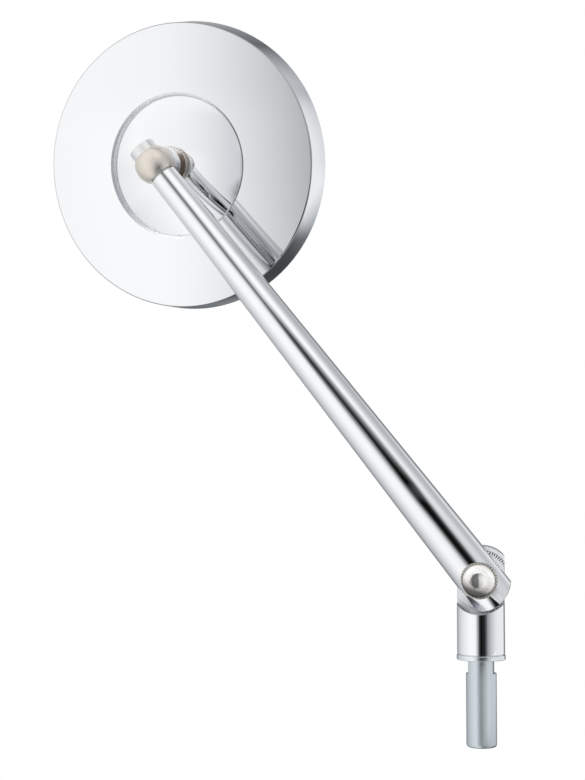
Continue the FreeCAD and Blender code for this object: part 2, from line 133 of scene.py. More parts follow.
pin = turned(
    "pin",
    [(0.0, PIN_FOOT)]
    + arc((PIN_R - PIN_ROUND, PIN_FOOT + PIN_ROUND), PIN_ROUND, -90, 0, 6)
    + [(PIN_R, -HAIR), (PIN_R, 0.0), (PIN_R, FLAT_TOP), (0.0, FLAT_TOP)],
)
for vertex in pin.data.vertices:
    if vertex.co.z > -0.01 * MM:
        vertex.co.x = max(-FLAT_HALF, min(FLAT_HALF, vertex.co.x))
polish_edges(pin, 0.18 * MM)
zinc = metal("zinc_plate", (0.62, 0.68, 0.715), 0.25, 0.06, 900.0, (1.0, 1.0, 0.08), 0.08)
pin.data.materials.append(zinc)
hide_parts("clamp_pin")
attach(pin, "base")

# Pin washer: a stamped flat washer with brighter zinc plate, held between the pin's shoulder
# and the sleeve. Its edges are rounded a little by stamping.
WASHER_R = 8.0 * MM
WASHER_BORE = 4.2 * MM
WASHER_TOP = 6.1 * MM
washer = turned(
    "washer",
    [(WASHER_BORE, FLAT_TOP), (WASHER_R, FLAT_TOP), (WASHER_R, WASHER_TOP), (WASHER_BORE, WASHER_TOP)]
    + [(WASHER_BORE, FLAT_TOP)],
)
polish_edges(washer, 0.25 * MM)
bright_zinc = metal("bright_zinc", (0.80, 0.84, 0.87), 0.20, 0.05, 900.0, (1.0, 1.0, 1.0), 0.05)
washer.data.materials.append(bright_zinc)
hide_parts("pin_washer")
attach(washer, "base")

# Hinge sleeve: a chrome-plated steel barrel. The front half is cut away in a saddle for the stem's
# round end, and the back half goes on up as a tongue with a round top that the stem laps over.
# The saddle and the lap face are less well polished than the outside. The saddle's colour is painted
# shade, dark on the left and light on the right, and the lap face is painted black under the friction
# washer, as painted shade in its notches.
HINGE_Z = 30.5 * MM
SLEEVE_R = 7.8 * MM
SLEEVE_EDGE = 0.4 * MM
TONGUE_R = 10.9 * MM
SADDLE_R = 11.0 * MM
LAP = 0.3 * MM
SCREW_BORE = 3.05 * MM
POCKET_R = 6.2 * MM
POCKET_FLOOR = 3.2 * MM
FRICTION_R = 9.6 * MM
FAR = 40.0 * MM
CHROME = (0.905, 0.912, 0.925)


def along_y(name, radius, low, high, height, steps=192):
    """A round cutter along Y at a height on the Z axis."""
    cutter = turned(name, [(0.0, low), (radius, low), (radius, high), (0.0, high)], steps)
    cutter.data.transform(Matrix.Translation((0, 0, height)) @ Matrix.Rotation(math.radians(-90), 4, "X"))
    return cutter


def block(name, low, high):
    """A square cutter between two corners."""
    bm = bmesh.new()
    bmesh.ops.create_cube(bm, size=1.0)
    size = [b - a for a, b in zip(low, high)]
    middle = [(a + b) / 2 for a, b in zip(low, high)]
    bmesh.ops.scale(bm, vec=size, verts=bm.verts)
    bmesh.ops.translate(bm, vec=middle, verts=bm.verts)
    mesh = bpy.data.meshes.new(name)
    bm.to_mesh(mesh)
    bm.free()
    cutter = bpy.data.objects.new(name, mesh)
    bpy.context.scene.collection.objects.link(cutter)
    return cutter


def half_ring(name, inner, outer, low, high, upper):
    """A half ring about Y, above or below the axis, used to round off an end."""
    bm = bmesh.new()
    corners = ((inner, low), (outer, low), (outer, high), (inner, high))
    face = bm.faces.new([bm.verts.new((r, y, 0.0)) for r, y in corners])
    turn = -math.pi if upper else math.pi
    bmesh.ops.spin(bm, geom=[face], cent=(0, 0, 0), axis=(0, 1, 0), angle=turn, steps=96)
    bmesh.ops.remove_doubles(bm, verts=bm.verts, dist=1e-7)
    bmesh.ops.recalc_face_normals(bm, faces=bm.faces)
    mesh = bpy.data.meshes.new(name)
    bm.to_mesh(mesh)
    bm.free()
    cutter = bpy.data.objects.new(name, mesh)
    bpy.context.scene.collection.objects.link(cutter)
    return cutter


def cut_away(piece, cutters):
    """Cuts each cutter out of a piece and removes the cutter."""
    for cutter in cutters:
        step = piece.modifiers.new("cut", "BOOLEAN")
        step.operation = "DIFFERENCE"
        step.solver = "EXACT"
        step.object = cutter
        cut = piece.evaluated_get(bpy.context.evaluated_depsgraph_get())
        shaped = bpy.data.meshes.new_from_object(cut)
        piece.modifiers.remove(step)
        piece.data = shaped
        bpy.data.objects.remove(cutter)
    return piece


sleeve = turned(
    "sleeve",
    [(0.0, WASHER_TOP), (SLEEVE_R - SLEEVE_EDGE, WASHER_TOP), (SLEEVE_R, WASHER_TOP + SLEEVE_EDGE)]
    + [(SLEEVE_R, FAR + WASHER_TOP), (0.0, FAR + WASHER_TOP)],
    192,
)
ring_off = half_ring("ring_off", TONGUE_R, FAR, -FAR, FAR, True)
ring_off.data.transform(Matrix.Translation((0, 0, HINGE_Z)))
cut_away(
    sleeve,
    [
        ring_off,
        along_y("saddle", SADDLE_R, -FAR, LAP, HINGE_Z),
        block("over_saddle", (-FAR, -FAR, HINGE_Z), (FAR, LAP, HINGE_Z + FAR)),
        along_y("screw_bore", SCREW_BORE, -FAR, FAR, HINGE_Z, 96),
        along_y("nut_pocket", POCKET_R, POCKET_FLOOR, FAR, HINGE_Z, 96),
    ],
)
for face in sleeve.data.polygons:
    from_axis = math.hypot(face.center.x, face.center.z - HINGE_Z)
    saddle = abs(from_axis - SADDLE_R) < 0.1 * MM and face.center.y < LAP - 0.01 * MM
    lap_face = abs(face.center.y - LAP) < 0.01 * MM
    face.material_index = 1 if saddle else 2 if lap_face else 0
polish_edges(sleeve, 0.15 * MM)
chrome = metal("chrome", CHROME, 0.035, 0.012, 60.0, (1.0, 1.0, 1.0), 0.012)


def tone_by_place(finish, measure, vector, start, end, tones, metallic):
    """Colours a finish by distance, along a direction or from a point, from (share, tone) pairs."""
    nodes = finish.node_tree.nodes
    links = finish.node_tree.links
    place = nodes.new("ShaderNodeTexCoord")
    along = nodes.new("ShaderNodeVectorMath")
    along.operation = measure
    along.inputs[1].default_value = vector
    links.new(place.outputs["Object"], along.inputs[0])
    share = nodes.new("ShaderNodeMapRange")
    share.inputs["From Min"].default_value = start
    share.inputs["From Max"].default_value = end
    links.new(along.outputs["Value"], share.inputs["Value"])
    ramp = nodes.new("ShaderNodeValToRGB")
    for k, (at, tone) in enumerate(tones):
        stop = ramp.color_ramp.elements[k] if k < 2 else ramp.color_ramp.elements.new(at)
        stop.position = at
        stop.color = (*tone, 1.0)
    links.new(share.outputs["Result"], ramp.inputs["Fac"])
    shader = nodes["Principled BSDF"]
    shader.inputs["Metallic"].default_value = metallic
    links.new(ramp.outputs["Color"], shader.inputs["Base Color"])
    return ramp


saddle_satin = metal("saddle_satin", (0.7, 0.7, 0.7), 0.25, 0.05, 500.0, (1.0, 1.0, 1.0), 0.0)
# Painted shade on the saddle: dark on its left, light towards its right.
SADDLE_PAINTED_SHADE = ((0.0, (0.06, 0.06, 0.07)), (0.16, (0.12, 0.12, 0.14)), (0.32, (0.52, 0.54, 0.60)))
SADDLE_PAINTED_SHADE += ((0.55, (0.76, 0.78, 0.82)), (0.80, (0.95, 0.95, 0.96)), (1.0, (0.75, 0.75, 0.76)))
tone_by_place(saddle_satin, "DOT_PRODUCT", (1, 0, 0), -SLEEVE_R, SLEEVE_R, SADDLE_PAINTED_SHADE, 0.3)
lap_face_satin = metal("lap_face_satin", (0.90, 0.90, 0.91), 0.22, 0.05, 500.0, (1.0, 1.0, 1.0), 0.0)
# Painted shade on the lap face: black inside the friction washer's edge, where it shows through the notches,
# and light outside it.
LAP_PAINTED_SHADE = ((0.0, (0.06, 0.06, 0.06)), (0.5, (0.06, 0.06, 0.06)), (0.6, (0.90, 0.90, 0.91)))
lap_middle = (0, LAP, HINGE_Z)
tone_by_place(lap_face_satin, "DISTANCE", lap_middle, FRICTION_R - MM, FRICTION_R + MM, LAP_PAINTED_SHADE, 0.4)
sleeve.data.materials.append(chrome)
sleeve.data.materials.append(saddle_satin)
sleeve.data.materials.append(lap_face_satin)
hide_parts("hinge_sleeve")
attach(sleeve, "base")

# Friction washer: a thin bright ring between the two lap faces of the hinge, flush with the tongue's
# sides and finely notched on top. The screw presses both faces on it, and that holds the fold.
NOTCH_DEEP = 0.9 * MM
NOTCH_HALF = 0.17 * MM
NOTCHES = 18
NOTCH_FIRST = -100
NOTCH_STEP = 5
SIDE_FLAT = SLEEVE_R - 0.1 * MM
friction = turned(
    "friction_ring",
    [(SCREW_BORE, -LAP), (FRICTION_R, -LAP), (FRICTION_R, LAP), (SCREW_BORE, LAP), (SCREW_BORE, -LAP)],
    192,
)
notches = []
for k in range(NOTCHES):
    notch = block("notch", (FRICTION_R - NOTCH_DEEP, -NOTCH_HALF, -MM), (FRICTION_R + MM, NOTCH_HALF, MM))
    notch.data.transform(Matrix.Rotation(math.radians(NOTCH_FIRST + NOTCH_STEP * k), 4, "Z"))
    notches.append(notch)
for side in (-1, 1):
    edges = sorted((side * SIDE_FLAT, side * FAR))
    notches.append(block("side_flat", (edges[0], -FAR, -MM), (edges[1], FAR, MM)))
cut_away(friction, notches)
friction.data.transform(Matrix.Translation((0, 0, HINGE_Z)) @ Matrix.Rotation(math.radians(-90), 4, "X"))
polish_edges(friction, 0.04 * MM, 2)
lap_satin = metal("lap_satin", (0.90, 0.90, 0.91), 0.22, 0.05, 500.0, (1.0, 1.0, 1.0), 0.0)
lap_satin.node_tree.nodes["Principled BSDF"].inputs["Metallic"].default_value = 0.4
friction.data.materials.append(lap_satin)
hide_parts("hinge_friction_washer")
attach(friction, "base")

# Stem: a tapered round steel bar, polished and chrome plated. Half of its lower end is milled away
# for the lap, the other half has a round end and a spot face for the screw's head. Its colour has a
# painted reflection: a dark line on the upper right, as something narrow in the room would show in
# the polish.
LEAN = math.radians(-38.2)
BALL_AT = 178.66 * MM
STEM_LOW_R = 7.575 * MM
STEM_TOP_R = 4.68 * MM
STEM_TOP = BALL_AT - 4.9 * MM
STEM_FOOT = -12.0 * MM
STEM_EDGE = 0.3 * MM
STEM_END_R = 10.0 * MM
TONGUE_ROOM_R = TONGUE_R + 0.5 * MM
LAP_CUT = -LAP - HAIR
SPOT_R = 6.0 * MM
SPOT_FLOOR = -4.6 * MM
in_stem = Matrix.Translation((0, 0, HINGE_Z)) @ Matrix.Rotation(LEAN, 4, "Y")
stem = turned(
    "stem_bar",
    [(0.0, STEM_FOOT), (STEM_LOW_R, STEM_FOOT), (STEM_LOW_R, 0.0)]
    + [(STEM_TOP_R + STEM_EDGE * (1 - STEM_TOP_R / STEM_LOW_R), STEM_TOP - STEM_EDGE)]
    + [(STEM_TOP_R - STEM_EDGE, STEM_TOP), (0.0, STEM_TOP)],
    192,
)
cut_away(
    stem,
    [
        half_ring("round_off", STEM_END_R, FAR, -FAR, FAR, False),
        along_y("tongue_room", TONGUE_ROOM_R, LAP_CUT, FAR, 0.0),
        block("under_lap", (-FAR, LAP_CUT, -FAR), (FAR, FAR, 0.0)),
        along_y("screw_bore", SCREW_BORE, -FAR, FAR, 0.0, 96),
        along_y("spot_face", SPOT_R, -FAR, SPOT_FLOOR, 0.0, 128),
    ],
)
stem.data.transform(in_stem)
polish_edges(stem, 0.15 * MM)
# Painted reflection on the stem: a dark line across it, between LINE_LEFT and LINE_RIGHT, that fades in from
# LINE_START to LINE_FULL along the stem.
LINE_SIDE = 0.17
LINE_LEFT = -0.1 * MM
LINE_RIGHT = 2.5 * MM
LINE_START = 60 * MM
LINE_FULL = 102 * MM
PAINTED_REFLECTION_GREYS = ((0.01, 1.0), (0.20, 0.96), (0.40, 0.47), (0.535, 0.21), (0.59, 0.23), (0.71, 0.66), (0.80, 1.0))
PAINTED_REFLECTION_TONES = [(at, [grey * c for c in CHROME]) for at, grey in PAINTED_REFLECTION_GREYS]
stem_chrome = metal("stem_chrome", CHROME, 0.035, 0.012, 60.0, (1.0, 1.0, 1.0), 0.012)
taper = (STEM_LOW_R - STEM_TOP_R) / STEM_TOP
line_way = in_stem.to_3x3() @ Vector((1.0, 0.0, LINE_SIDE * taper))
line_at = in_stem.translation.dot(line_way)
left, right = line_at + LINE_LEFT, line_at + LINE_RIGHT
line = tone_by_place(stem_chrome, "DOT_PRODUCT", line_way, left, right, PAINTED_REFLECTION_TONES, 1.0)
nodes = stem_chrome.node_tree.nodes
links = stem_chrome.node_tree.links
place = nodes.new("ShaderNodeTexCoord")
stem_way = in_stem.to_3x3() @ Vector((0, 0, 1))
stem_from = in_stem.translation.dot(stem_way)
height = nodes.new("ShaderNodeVectorMath")
height.operation = "DOT_PRODUCT"
height.inputs[1].default_value = stem_way
links.new(place.outputs["Object"], height.inputs[0])
fade = nodes.new("ShaderNodeMapRange")
fade.inputs["From Min"].default_value = stem_from + LINE_START
fade.inputs["From Max"].default_value = stem_from + LINE_FULL
links.new(height.outputs["Value"], fade.inputs["Value"])
blend = nodes.new("ShaderNodeMix")
blend.data_type = "RGBA"
blend.inputs["A"].default_value = (*CHROME, 1.0)
links.new(fade.outputs["Result"], blend.inputs["Factor"])
links.new(line.outputs["Color"], blend.inputs["B"])
links.new(blend.outputs["Result"], nodes["Principled BSDF"].inputs["Base Color"])
stem.data.materials.append(stem_chrome)
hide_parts("stem")
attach(stem, "stem")

# Hinge screw: a bright stainless button-head screw, the axle of the fold. Its hexagon socket is
# pressed in, over the cone that a drill leaves. Its head has painted light and shade, dark at the
# foot and light on top, and the socket's faces that turn to the right are painted dark, the others light.
in_screw = in_stem @ Matrix.Rotation(math.radians(-90), 4, "X")
HEAD_SEAT = -5.3 * MM
HEAD_TOP = -8.4 * MM
HEAD_R = 5.4 * MM
HEAD_ROUND = 2.3 * MM
SHANK_R = 3.0 * MM
SHANK_END = 7.22 * MM
SOCKET_ACROSS = 5.0 * MM
SOCKET_REACH = 2.95 * MM
SOCKET_DEEP = 1.2 * MM
DRILL_R = 2.4 * MM


def hexagon(name, across, low, high):
    """A hexagonal cutter on the Z axis, given across its flats."""
    bm = bmesh.new()
    bmesh.ops.create_cone(
        bm,
        cap_ends=True,
        segments=6,
        radius1=across / math.sqrt(3),
        radius2=across / math.sqrt(3),
        depth=high - low,
        matrix=Matrix.Translation((0, 0, (low + high) / 2)),
    )
    mesh = bpy.data.meshes.new(name)
    bm.to_mesh(mesh)
    bm.free()
    piece = bpy.data.objects.new(name, mesh)
    bpy.context.scene.collection.objects.link(piece)
    return piece


screw = turned(
    "hinge_button_screw",
    [(0.0, HEAD_TOP)]
    + arc((HEAD_R - HEAD_ROUND, HEAD_TOP + HEAD_ROUND), HEAD_ROUND, -90, 0, 12)
    + [(HEAD_R, HEAD_SEAT), (SHANK_R, HEAD_SEAT), (SHANK_R, SHANK_END), (0.0, SHANK_END)],
)
socket_foot = HEAD_TOP + SOCKET_DEEP
drill_point = turned(
    "drill_point",
    [(0.0, HEAD_TOP - MM), (DRILL_R, HEAD_TOP - MM), (DRILL_R, socket_foot), (0.0, socket_foot + MM)],
)
cut_away(screw, [hexagon("socket", SOCKET_ACROSS, HEAD_TOP - MM, socket_foot), drill_point])
# Painted shade and light in the socket: faces that turn to the right take the dark finish, the others the
# light one.
for face in screw.data.polygons:
    inside = math.hypot(face.center.x, face.center.y) < SOCKET_REACH
    in_socket = inside and HEAD_TOP + HAIR < face.center.z < HEAD_SEAT
    sideways = (in_screw.to_3x3() @ face.normal).x
    face.material_index = 0 if not in_socket else 1 if sideways > 0.02 else 2
screw.data.transform(in_screw)
polish_edges(screw, 0.12 * MM)
stainless = metal("stainless", (0.88, 0.84, 0.795), 0.34, 0.05, 700.0, (1.0, 1.0, 1.0), 0.03)
button_steel = metal("button_steel", (0.88, 0.84, 0.795), 0.34, 0.05, 700.0, (1.0, 1.0, 1.0), 0.03)
# Painted light and shade on the screw's head: dark at its foot, light on top, along an up direction leaning a
# little to the right.
BUTTON_PAINTED_LIGHT = ((0.0, (0.06, 0.06, 0.05)), (0.16, (0.13, 0.125, 0.12)), (0.28, (0.50, 0.48, 0.45)))
BUTTON_PAINTED_LIGHT += ((0.46, (0.86, 0.83, 0.79)), (0.80, (1.0, 0.99, 0.97)), (1.0, (0.80, 0.77, 0.74)))
low, high = HINGE_Z - HEAD_R, HINGE_Z + HEAD_R
tone_by_place(button_steel, "DOT_PRODUCT", (0.35, 0, 1), low, high, BUTTON_PAINTED_LIGHT, 0.3)
socket_painted_shade = metal("socket_painted_shade", (0.38, 0.365, 0.355), 0.35, 0.05, 900.0, (1.0, 1.0, 1.0), 0.03)
socket_painted_light = metal("socket_painted_light", (1.0, 0.97, 0.95), 0.25, 0.05, 900.0, (1.0, 1.0, 1.0), 0.03)
screw.data.materials.append(button_steel)
screw.data.materials.append(socket_painted_shade)
screw.data.materials.append(socket_painted_light)
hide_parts("hinge_screw")
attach(screw, "stem")

# Hinge washer and nut: a toothed spring-steel washer sits under the screw's head in the spot face,
# its teeth turned up in a lip round the head. A stainless lock nut holds the screw behind the tongue.
TEETH = 36
TOOTH_GAP = 0.3 * MM
TOOTH_DEEP = 0.35 * MM
LIP_R = 5.92 * MM
LIP_TALL = 1.5 * MM
LOCK_THICK = 0.7 * MM


def toothed(name, outer, low, high, lip=0.0):
    """A toothed washer: gaps cut round the edge of a flat ring, which may turn up in a lip."""
    inner = outer - TOOTH_DEEP if lip else outer
    outline = [(SCREW_BORE, low), (inner, low), (inner, low - lip), (outer, low - lip)]
    outline += [(outer, high), (SCREW_BORE, high), (SCREW_BORE, low)]
    ring = turned(name, outline, 160)
    side = TOOTH_GAP / 2
    gaps = []
    for k in range(TEETH):
        gap = block("gap", (outer - TOOTH_DEEP, -side, low - lip - MM), (outer + MM, side, high + MM))
        gap.data.transform(Matrix.Rotation(math.tau * k / TEETH, 4, "Z"))
        gaps.append(gap)
    return cut_away(ring, gaps)


screw_washer = toothed("hinge_toothed_washer", LIP_R, HEAD_SEAT, HEAD_SEAT + LOCK_THICK, LIP_TALL)
screw_washer.data.transform(in_screw)
polish_edges(screw_washer, 0.06 * MM, 2)
spring_steel = metal("spring_steel", (0.83, 0.79, 0.73), 0.26, 0.08, 1200.0, (1.0, 1.0, 1.0), 0.08)
screw_washer.data.materials.append(spring_steel)
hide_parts("hinge_lock_washer")
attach(screw_washer, "stem")


def finish_node(node, finish):
    """Gives a CAD node its finish in place of the plain one."""
    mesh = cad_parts[node].data
    mesh.materials.clear()
    mesh.materials.append(finish)


finish_node("hinge_nut", stainless)

# Swivel ball: a turned ball, nickel plated, with fine tool rings. Two flats take the stem's end and
# the screw's head, and a neck, a thinner collar and a stud carry the mirror head. The neck and the
# collar have painted light and shade: darker low down and lighter at the top.
HEAD_TURN = math.radians(-12.1)
BALL_R = 6.7 * MM
NECK_R = 6.15 * MM
NECK_END = -8.4 * MM
NECK_EDGE = 0.3 * MM
COLLAR_R = 4.7 * MM
COLLAR_END = -11.6 * MM
STUD_R = 3.0 * MM
STUD_END = -23.5 * MM
FLAT_AT = 4.5 * MM
FLAT_R = 5.0 * MM
CROSS_BORE = 2.55 * MM
in_ball = in_stem @ Matrix.Translation((0, 0, BALL_AT))
in_head = in_ball @ Matrix.Rotation(HEAD_TURN, 4, "Z") @ Matrix.Rotation(math.radians(90), 4, "X")
neck_angle = -math.degrees(math.acos(NECK_R / BALL_R))
RING_TURN = Matrix.Rotation(math.radians(90), 4, "X")
ball = turned(
    "swivel_ball_joint",
    [(0.0, STUD_END), (STUD_R, STUD_END), (STUD_R, COLLAR_END), (COLLAR_R, COLLAR_END)]
    + [(COLLAR_R, NECK_END), (NECK_R - NECK_EDGE, NECK_END), (NECK_R, NECK_END + NECK_EDGE)]
    + arc((0.0, 0.0), BALL_R, neck_angle, 90, 40)[:-1]
    + [(0.0, BALL_R)],
)
cut_away(
    ball,
    [
        along_y("top_flat", FLAT_R, FLAT_AT, FAR, 0.0, 128),
        along_y("stem_flat", FLAT_R, -FAR, -FLAT_AT, 0.0, 128),
        along_y("cross_bore", CROSS_BORE, -FAR, FAR, 0.0, 64),
    ],
)
neck_start = -math.sqrt(BALL_R**2 - NECK_R**2)
for face in ball.data.polygons:
    face.material_index = int(face.center.z < neck_start) + int(face.center.z < NECK_END + 0.01 * MM)
ball.data.transform(in_head)
polish_edges(ball, 0.12 * MM)
nickel = metal("nickel", (0.79, 0.73, 0.66), 0.35, 0.06, 500.0, (1.0, 1.0, 1.0), 0.05, in_ball @ RING_TURN)
neck_steel = metal("neck_steel", (0.84, 0.84, 0.87), 0.18, 0.04, 700.0, (1.0, 1.0, 1.0), 0.02)
collar_painted_shade = metal("collar_painted_shade", (0.36, 0.31, 0.27), 0.35, 0.04, 900.0, (1.0, 1.0, 1.0), 0.02)
nickel.node_tree.nodes["Principled BSDF"].inputs["Metallic"].default_value = 0.95
ball_z = in_ball.translation.z
# Painted light and shade on the neck: darker low on the ball, light towards its top.
NECK_PAINTED_LIGHT = ((0.0, (0.36, 0.36, 0.37)), (0.44, (0.44, 0.44, 0.45)), (0.60, (0.62, 0.62, 0.64)))
NECK_PAINTED_LIGHT += ((0.74, (0.97, 0.97, 0.99)), (1.0, (0.97, 0.97, 0.99)))
tone_by_place(neck_steel, "DOT_PRODUCT", (0, 0, 1), ball_z - BALL_R, ball_z + BALL_R, NECK_PAINTED_LIGHT, 0.5)
# Painted shade on the collar, darker low down, with a painted highlight at its top.
COLLAR_PAINTED_TONES = ((0.0, (0.32, 0.27, 0.23)), (0.62, (0.30, 0.25, 0.21)), (0.84, (0.42, 0.36, 0.31)))
COLLAR_PAINTED_TONES += ((0.93, (0.95, 0.93, 0.90)), (1.0, (0.95, 0.93, 0.90)))
tone_by_place(collar_painted_shade, "DOT_PRODUCT", (0, 0, 1), ball_z - BALL_R, ball_z + BALL_R, COLLAR_PAINTED_TONES, 0.7)
ball.data.materials.append(nickel)
ball.data.materials.append(neck_steel)
ball.data.materials.append(collar_painted_shade)
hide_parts("swivel_ball")
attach(ball, "head")

# Swivel screw: a low round head on the ball's upper flat; its shank runs through the ball into the
# stem. A thin wave washer under the ball keeps the swivel tight.
SWIVEL_R = 4.7 * MM
SWIVEL_SEAT = 4.52 * MM
SWIVEL_TOP = 7.66 * MM
SWIVEL_EDGE = 0.2 * MM
SWIVEL_SHANK_R = 2.5 * MM
SWIVEL_END = -17.0 * MM
SWIVEL_SOCKET = 4.0 * MM
SWIVEL_SOCKET_DEEP = 2.0 * MM
swivel = turned(
    "swivel_cap_screw",
    [(0.0, SWIVEL_END), (SWIVEL_SHANK_R, SWIVEL_END), (SWIVEL_SHANK_R, SWIVEL_SEAT), (SWIVEL_R, SWIVEL_SEAT)]
    + arc((SWIVEL_R - SWIVEL_EDGE, SWIVEL_TOP - SWIVEL_EDGE), SWIVEL_EDGE, 0, 90, 6)
    + [(0.0, SWIVEL_TOP)],
)
socket_floor = SWIVEL_TOP - SWIVEL_SOCKET_DEEP
cut_away(swivel, [hexagon("socket", SWIVEL_SOCKET, socket_floor, SWIVEL_TOP + SWIVEL_SOCKET_DEEP)])
swivel.data.transform(in_ball)
polish_edges(swivel, 0.12 * MM)
bright_steel = metal("bright_steel", (0.83, 0.825, 0.815), 0.30, 0.05, 700.0, (1.0, 1.0, 1.0), 0.03)
swivel.data.materials.append(bright_steel)
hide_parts("swivel_screw")
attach(swivel, "stem")
finish_node("swivel_wave_washer", zinc)

# Neck washer: a toothed spring-steel washer between the ball's collar and the cap's boss.
# It bites into both, so that the head doesn't work loose. Its face towards the ball takes the
# collar's painted shade.
NECK_WASHER_R = 6.7 * MM
WASHER_SEAT = COLLAR_END - 0.9 * MM
neck_washer = toothed("neck_toothed_washer", NECK_WASHER_R, WASHER_SEAT, COLLAR_END)
# The washer's face towards the ball takes the collar's painted shade.
for face in neck_washer.data.polygons:
    face.material_index = int(face.normal.z > 0.9)
neck_washer.data.transform(in_head)
polish_edges(neck_washer, 0.06 * MM, 2)
tooth_steel = metal("tooth_steel", (0.93, 0.88, 0.81), 0.48, 0.05, 900.0, (1.0, 1.0, 1.0), 0.02)
neck_washer.data.materials.append(tooth_steel)
neck_washer.data.materials.append(collar_painted_shade)
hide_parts("neck_lock_washer")
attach(neck_washer, "head")

# Centre cap: a domed disc with a low boss, polished and chrome plated, set into the recess of the
# head's back and pulled down by the nut inside. The boss's side wall is painted a darker grey, as
# painted shade under the neck washer.
CAP_R = 24.55 * MM
CAP_EDGE_R = 24.69 * MM
CAP_DOME = 60.0 * MM
CAP_SHEET = 1.2 * MM
CAP_HOLLOW_R = 21.05 * MM
BOSS_R = 5.5 * MM
BOSS_TALL = 1.55 * MM
cap_centre = WASHER_SEAT - BOSS_TALL - CAP_DOME
cap_floor = cap_centre + math.sqrt(CAP_DOME**2 - CAP_R**2) - CAP_SHEET


def dome_arc(centre, radius, first, last, count):
    """Points of a dome's outline between two distances from its axis."""
    start, end = (math.degrees(math.acos(reach / radius)) for reach in (first, last))
    return arc((0.0, centre), radius, start, end, count)


cap_under = dome_arc(cap_centre, CAP_DOME - CAP_SHEET, CAP_HOLLOW_R, SCREW_BORE, 24)
cap = turned(
    "domed_cap",
    cap_under[-1:]
    + [(SCREW_BORE, WASHER_SEAT), (BOSS_R, WASHER_SEAT)]
    + dome_arc(cap_centre, CAP_DOME, BOSS_R, CAP_EDGE_R, 40)
    + [(CAP_EDGE_R, cap_floor), (CAP_HOLLOW_R, cap_floor)]
    + cap_under,
    256,
)
# The boss's side wall takes a darker grey finish: painted shade under the neck washer.
for face in cap.data.polygons:
    out = math.hypot(face.center.x, face.center.y)
    face.material_index = int(abs(out - BOSS_R) < HAIR)
cap.data.transform(in_head)
polish_edges(cap, 0.03 * MM)
boss_painted_shade = metal("boss_painted_shade", (0.42, 0.42, 0.43), 0.35, 0.04, 700.0, (1.0, 1.0, 1.0), 0.02)
cap.data.materials.append(chrome)
cap.data.materials.append(boss_painted_shade)
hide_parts("centre_cap")
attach(cap, "head")

# Head shell: a round die-cast shell, polished and chrome plated all over, with a gently domed back,
# a flared rim and, in front, a seat for the glass. The back's chrome colour is painted darker to the
# right, a painted reflection of how polished chrome looks in a studio, and the recess's edge has
# painted shade, grey on the left and dark on the right. The back's outer edge has a painted dark line.
BACK_DOME = 400.0 * MM
RECESS_R = 24.7 * MM
BACK_R = 49.9 * MM
RECESS_CHAMFER = 0.8 * MM
BACK_ROUND = 0.7 * MM
ROUND_IN = 0.9 * BACK_ROUND
ROUND_DOWN = 0.894 * BACK_ROUND
ROUND_FROM = 82.8
ROUND_TO = 6.9
EDGE_LINE = 0.3 * MM
RECESS_DEEP = 1.3 * MM
RIM_DEEP = 10.4 * MM
RIM_R = 51.15 * MM
GLASS_ROOM_R = 49.0 * MM
SEAT_R = 46.4 * MM
SEAT_DEEP = 3.77 * MM
HUB_R = 26.1 * MM
LEDGE_R = 20.0 * MM
SHELL_WALL = 1.4 * MM
SHADE_REACH = 50.0 * MM
back_top = cap_floor + CAP_SHEET + RECESS_DEEP
back_centre = back_top - math.sqrt(BACK_DOME**2 - RECESS_R**2)
back_edge = back_centre + math.sqrt(BACK_DOME**2 - BACK_R**2)
front = back_edge - RIM_DEEP
hub_floor = cap_floor - SHELL_WALL
glass_seat = front + SEAT_DEEP
shell = turned(
    "round_shell",
    [(LEDGE_R, hub_floor), (LEDGE_R, cap_floor), (RECESS_R, cap_floor)]
    + [(RECESS_R, back_top - RECESS_CHAMFER - HAIR), (RECESS_R, back_top - RECESS_CHAMFER)]
    + dome_arc(back_centre, BACK_DOME, RECESS_R + RECESS_CHAMFER, BACK_R - BACK_ROUND, 48)
    + arc((BACK_R - ROUND_IN, back_edge - ROUND_DOWN), BACK_ROUND, ROUND_FROM, ROUND_TO, 8)
    + [(RIM_R, front), (GLASS_ROOM_R, front), (GLASS_ROOM_R, glass_seat), (SEAT_R, glass_seat)]
    + dome_arc(back_centre, BACK_DOME - SHELL_WALL, SEAT_R, HUB_R, 24)
    + [(HUB_R, hub_floor), (LEDGE_R, hub_floor)],
    384,
)
outward = (in_head.to_3x3() @ Vector((0, 0, 1))).normalized()
across = Vector((0, 0, 1)).cross(outward).normalized()
for face in shell.data.polygons:
    out = math.hypot(face.center.x, face.center.y)
    wall = abs(out - RECESS_R) < 0.1 * MM
    recess = RECESS_R < out < RECESS_R + RECESS_CHAMFER
    edge = BACK_R - EDGE_LINE < out < BACK_R - HAIR and face.center.z > back_edge - BACK_ROUND
    domed = RECESS_R + RECESS_CHAMFER < out < BACK_R - EDGE_LINE and face.normal.z > 0.5
    face.material_index = 3 if wall else 1 if recess else 2 if edge else 4 if domed else 0
shell.data.transform(in_head)
polish_edges(shell, 0.1 * MM)
recess_chrome = metal("recess_chrome", (0.90, 0.91, 0.93), 0.50, 0.04, 500.0, (1.0, 1.0, 1.0), 0.0)
